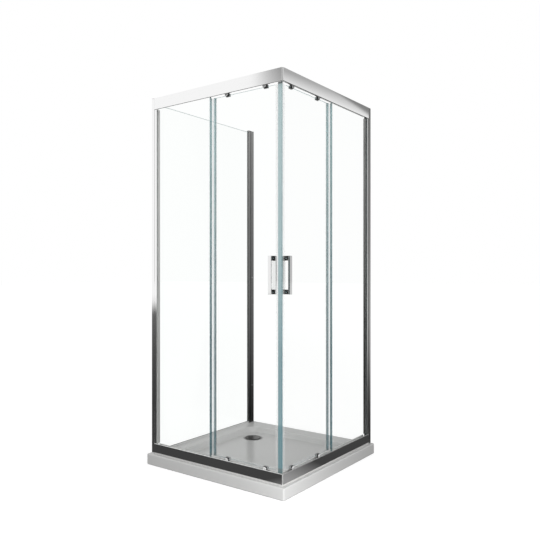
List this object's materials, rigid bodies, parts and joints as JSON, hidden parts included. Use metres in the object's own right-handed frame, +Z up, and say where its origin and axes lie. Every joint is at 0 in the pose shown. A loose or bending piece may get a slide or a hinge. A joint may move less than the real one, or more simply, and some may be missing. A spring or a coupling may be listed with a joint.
{
  "type": "shower enclosure with sliding door",
  "caption": "Square corner-entry shower enclosure on a low tray: glass side panel and two sliding glass doors that meet at the corner.",
  "frame": {"origin": "centre of the tray's underside, on the floor", "axes": "+Z up; -Y is the left facade, +X the right facade, -X the glass side panel, +Y the open side that stands against the tiled wall"},
  "size_m": [0.9, 0.9, 1.965],
  "materials": {
    "tray_acrylic": "glossy white sanitary acrylic",
    "tray_core": "rough moulded filler",
    "light_strip": "satin extruded strip",
    "bright_aluminium": "bright polished",
    "chrome": "mirror plated",
    "clear_glass": "clear toughened",
    "clear_seal": "clear soft extrusion",
    "grey_rubber": "satin",
    "black_rubber": "matt",
    "grey_plastic": "satin",
    "white_nylon": "satin",
    "steel": "plain"
  },
  "bodies": {
    "enclosure": {"base_strips": "light_strip", "corner_post": "bright_aluminium", "fixed_edge_seals": "clear_seal", "frame_screws": "steel", "glazing_gaskets": "grey_rubber", "glazing_profiles": "bright_aluminium", "left_bottom_rail": "bright_aluminium", "left_fixed_glass": "clear_glass", "left_top_rail": "bright_aluminium", "profile_caps": "grey_plastic", "rail_corner_brackets": "steel", "rail_end_brackets": "steel", "right_bottom_rail": "bright_aluminium", "right_fixed_glass": "clear_glass", "right_top_rail": "bright_aluminium", "shower_tray": "tray_acrylic", "side_bottom_profile": "bright_aluminium", "side_glass": "clear_glass", "travel_stops": "black_rubber", "tray_base_block": "tray_core", "wall_channels": "bright_aluminium", "waste_cover": "chrome", "waste_cup": "grey_plastic", "waste_flange": "grey_plastic", "waste_nut": "grey_plastic"},
    "left_door": {"left_carriage_covers": "chrome", "left_carriages": "white_nylon", "left_door_glass": "clear_glass", "left_door_seals": "clear_seal", "left_handle_studs": "steel", "left_inner_handle": "chrome", "left_magnetic_seal": "clear_seal", "left_outer_handle": "chrome", "left_wheel_axles": "steel"},
    "left_wheel_1": {"left_wheel_1": "white_nylon"},
    "left_wheel_2": {"left_wheel_2": "white_nylon"},
    "left_wheel_3": {"left_wheel_3": "white_nylon"},
    "left_wheel_4": {"left_wheel_4": "white_nylon"},
    "left_wheel_5": {"left_wheel_5": "white_nylon"},
    "left_wheel_6": {"left_wheel_6": "white_nylon"},
    "left_wheel_7": {"left_wheel_7": "white_nylon"},
    "left_wheel_8": {"left_wheel_8": "white_nylon"},
    "right_door": {"right_carriage_covers": "chrome", "right_carriages": "white_nylon", "right_door_glass": "clear_glass", "right_door_seals": "clear_seal", "right_handle_studs": "steel", "right_inner_handle": "chrome", "right_magnetic_seal": "clear_seal", "right_outer_handle": "chrome", "right_wheel_axles": "steel"},
    "right_wheel_1": {"right_wheel_1": "white_nylon"},
    "right_wheel_2": {"right_wheel_2": "white_nylon"},
    "right_wheel_3": {"right_wheel_3": "white_nylon"},
    "right_wheel_4": {"right_wheel_4": "white_nylon"},
    "right_wheel_5": {"right_wheel_5": "white_nylon"},
    "right_wheel_6": {"right_wheel_6": "white_nylon"},
    "right_wheel_7": {"right_wheel_7": "white_nylon"},
    "right_wheel_8": {"right_wheel_8": "white_nylon"}
  },
  "joints": [
    {"name": "left_door_slide", "type": "slide", "parent": "enclosure", "child": "left_door", "axis": [-1, 0, 0], "range_m": [0, 0.33]},
    {"name": "left_wheel_1_spin", "type": "hinge", "parent": "left_door", "child": "left_wheel_1", "pos_m": [0.327, -0.4005, 0.0813], "axis": [0, -1, 0], "range_deg": [-10, 1900]},
    {"name": "left_wheel_2_spin", "type": "hinge", "parent": "left_door", "child": "left_wheel_2", "pos_m": [0.303, -0.4005, 0.0813], "axis": [0, -1, 0], "range_deg": [-10, 1900]},
    {"name": "left_wheel_3_spin", "type": "hinge", "parent": "left_door", "child": "left_wheel_3", "pos_m": [0.0945, -0.4005, 0.0813], "axis": [0, -1, 0], "range_deg": [-10, 1900]},
    {"name": "left_wheel_4_spin", "type": "hinge", "parent": "left_door", "child": "left_wheel_4", "pos_m": [0.0705, -0.4005, 0.0813], "axis": [0, -1, 0], "range_deg": [-10, 1900]},
    {"name": "left_wheel_5_spin", "type": "hinge", "parent": "left_door", "child": "left_wheel_5", "pos_m": [0.327, -0.4005, 1.9323], "axis": [0, -1, 0], "range_deg": [-10, 1900]},
    {"name": "left_wheel_6_spin", "type": "hinge", "parent": "left_door", "child": "left_wheel_6", "pos_m": [0.303, -0.4005, 1.9323], "axis": [0, -1, 0], "range_deg": [-10, 1900]},
    {"name": "left_wheel_7_spin", "type": "hinge", "parent": "left_door", "child": "left_wheel_7", "pos_m": [0.0945, -0.4005, 1.9323], "axis": [0, -1, 0], "range_deg": [-10, 1900]},
    {"name": "left_wheel_8_spin", "type": "hinge", "parent": "left_door", "child": "left_wheel_8", "pos_m": [0.0705, -0.4005, 1.9323], "axis": [0, -1, 0], "range_deg": [-10, 1900]},
    {"name": "right_door_slide", "type": "slide", "parent": "enclosure", "child": "right_door", "axis": [0, 1, 0], "range_m": [0, 0.33]},
    {"name": "right_wheel_1_spin", "type": "hinge", "parent": "right_door", "child": "right_wheel_1", "pos_m": [0.4005, -0.338, 0.0813], "axis": [-1, 0, 0], "range_deg": [-10, 1900]},
    {"name": "right_wheel_2_spin", "type": "hinge", "parent": "right_door", "child": "right_wheel_2", "pos_m": [0.4005, -0.314, 0.0813], "axis": [-1, 0, 0], "range_deg": [-10, 1900]},
    {"name": "right_wheel_3_spin", "type": "hinge", "parent": "right_door", "child": "right_wheel_3", "pos_m": [0.4005, -0.1055, 0.0813], "axis": [-1, 0, 0], "range_deg": [-10, 1900]},
    {"name": "right_wheel_4_spin", "type": "hinge", "parent": "right_door", "child": "right_wheel_4", "pos_m": [0.4005, -0.0815, 0.0813], "axis": [-1, 0, 0], "range_deg": [-10, 1900]},
    {"name": "right_wheel_5_spin", "type": "hinge", "parent": "right_door", "child": "right_wheel_5", "pos_m": [0.4005, -0.338, 1.9323], "axis": [-1, 0, 0], "range_deg": [-10, 1900]},
    {"name": "right_wheel_6_spin", "type": "hinge", "parent": "right_door", "child": "right_wheel_6", "pos_m": [0.4005, -0.314, 1.9323], "axis": [-1, 0, 0], "range_deg": [-10, 1900]},
    {"name": "right_wheel_7_spin", "type": "hinge", "parent": "right_door", "child": "right_wheel_7", "pos_m": [0.4005, -0.1055, 1.9323], "axis": [-1, 0, 0], "range_deg": [-10, 1900]},
    {"name": "right_wheel_8_spin", "type": "hinge", "parent": "right_door", "child": "right_wheel_8", "pos_m": [0.4005, -0.0815, 1.9323], "axis": [-1, 0, 0], "range_deg": [-10, 1900]}
  ],
  "couplings": [
    {"joint": "left_wheel_1_spin", "follows": "left_door_slide", "rad_per_m": 100},
    {"joint": "left_wheel_2_spin", "follows": "left_door_slide", "rad_per_m": 100},
    {"joint": "left_wheel_3_spin", "follows": "left_door_slide", "rad_per_m": 100},
    {"joint": "left_wheel_4_spin", "follows": "left_door_slide", "rad_per_m": 100},
    {"joint": "left_wheel_5_spin", "follows": "left_door_slide", "rad_per_m": 100},
    {"joint": "left_wheel_6_spin", "follows": "left_door_slide", "rad_per_m": 100},
    {"joint": "left_wheel_7_spin", "follows": "left_door_slide", "rad_per_m": 100},
    {"joint": "left_wheel_8_spin", "follows": "left_door_slide", "rad_per_m": 100},
    {"joint": "right_wheel_1_spin", "follows": "right_door_slide", "rad_per_m": 100},
    {"joint": "right_wheel_2_spin", "follows": "right_door_slide", "rad_per_m": 100},
    {"joint": "right_wheel_3_spin", "follows": "right_door_slide", "rad_per_m": 100},
    {"joint": "right_wheel_4_spin", "follows": "right_door_slide", "rad_per_m": 100},
    {"joint": "right_wheel_5_spin", "follows": "right_door_slide", "rad_per_m": 100},
    {"joint": "right_wheel_6_spin", "follows": "right_door_slide", "rad_per_m": 100},
    {"joint": "right_wheel_7_spin", "follows": "right_door_slide", "rad_per_m": 100},
    {"joint": "right_wheel_8_spin", "follows": "right_door_slide", "rad_per_m": 100}
  ]
}
